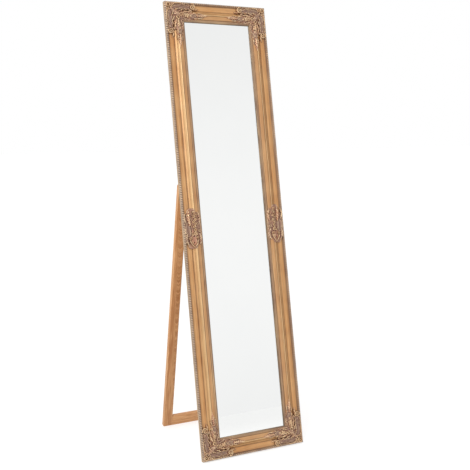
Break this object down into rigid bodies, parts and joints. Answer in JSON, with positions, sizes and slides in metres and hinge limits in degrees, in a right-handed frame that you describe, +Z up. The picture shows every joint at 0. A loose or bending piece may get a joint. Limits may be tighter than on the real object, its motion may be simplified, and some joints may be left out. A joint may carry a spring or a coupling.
{
  "type": "leaning floor mirror",
  "caption": "Tall narrow mirror in a mitred gilt moulding with cast corner and side ornaments, leaning on a hinged wooden easel back.",
  "frame": {"origin": "on the floor, under the middle of the box around the whole object with the easel open", "axes": "+Z up, -Y towards the person looking in the glass, +X to that person's right"},
  "size_m": [0.396, 0.3948, 1.572],
  "materials": {
    "gilt_moulding": "antique gold leaf over a brown ground, satin, darker in the grooves",
    "gilt_casting": "antique gilded casting with a mauve-brown wash and dark recesses",
    "silvered_glass": "clear silvered float glass, no bevel",
    "backing_board": "brown hardboard, matt",
    "easel_wood": "plain stained pine, satin",
    "dowel_wood": "bare beech",
    "steel_fixings": "plain steel",
    "brass_hinge": "lightly tarnished brass"
  },
  "bodies": {
    "mirror": {"left_stile": "gilt_moulding", "right_stile": "gilt_moulding", "top_rail": "gilt_moulding", "bottom_rail": "gilt_moulding", "corner_ornament_bottom_left": "gilt_casting", "corner_ornament_bottom_right": "gilt_casting", "corner_ornament_top_left": "gilt_casting", "corner_ornament_top_right": "gilt_casting", "side_ornament_left": "gilt_casting", "side_ornament_right": "gilt_casting", "mirror_glass": "silvered_glass", "backing_board": "backing_board", "glazing_point_left_1": "steel_fixings", "glazing_point_left_2": "steel_fixings", "glazing_point_left_3": "steel_fixings", "glazing_point_right_1": "steel_fixings", "glazing_point_right_2": "steel_fixings", "glazing_point_right_3": "steel_fixings", "glazing_point_top": "steel_fixings", "glazing_point_bottom": "steel_fixings", "v_nail_bottom_left_inner": "steel_fixings", "v_nail_bottom_left_outer": "steel_fixings", "v_nail_bottom_right_inner": "steel_fixings", "v_nail_bottom_right_outer": "steel_fixings", "v_nail_top_left_inner": "steel_fixings", "v_nail_top_left_outer": "steel_fixings", "v_nail_top_right_inner": "steel_fixings", "v_nail_top_right_outer": "steel_fixings", "left_hinge_frame_leaf": "brass_hinge", "left_hinge_pin": "brass_hinge", "right_hinge_frame_leaf": "brass_hinge", "right_hinge_pin": "brass_hinge", "left_hinge_frame_screw_1": "brass_hinge", "left_hinge_frame_screw_2": "brass_hinge", "left_hinge_frame_screw_3": "brass_hinge", "right_hinge_frame_screw_1": "brass_hinge", "right_hinge_frame_screw_2": "brass_hinge", "right_hinge_frame_screw_3": "brass_hinge"},
    "easel": {"easel_left_leg": "easel_wood", "easel_right_leg": "easel_wood", "easel_top_rail": "easel_wood", "easel_crossbar": "easel_wood", "easel_top_rail_dowel_left_upper": "dowel_wood", "easel_top_rail_dowel_left_lower": "dowel_wood", "easel_top_rail_dowel_right_upper": "dowel_wood", "easel_top_rail_dowel_right_lower": "dowel_wood", "easel_crossbar_dowel_left_upper": "dowel_wood", "easel_crossbar_dowel_left_lower": "dowel_wood", "easel_crossbar_dowel_right_upper": "dowel_wood", "easel_crossbar_dowel_right_lower": "dowel_wood", "left_hinge_leg_leaf": "brass_hinge", "right_hinge_leg_leaf": "brass_hinge", "left_hinge_leg_screw_1": "brass_hinge", "left_hinge_leg_screw_2": "brass_hinge", "left_hinge_leg_screw_3": "brass_hinge", "right_hinge_leg_screw_1": "brass_hinge", "right_hinge_leg_screw_2": "brass_hinge", "right_hinge_leg_screw_3": "brass_hinge"}
  },
  "joints": [
    {"name": "easel_fold", "type": "hinge", "parent": "mirror", "child": "easel", "pos_m": [0, 0.00665, 0.90358], "axis": [-1, 0, 0], "range_deg": [0, 21.9]}
  ]
}
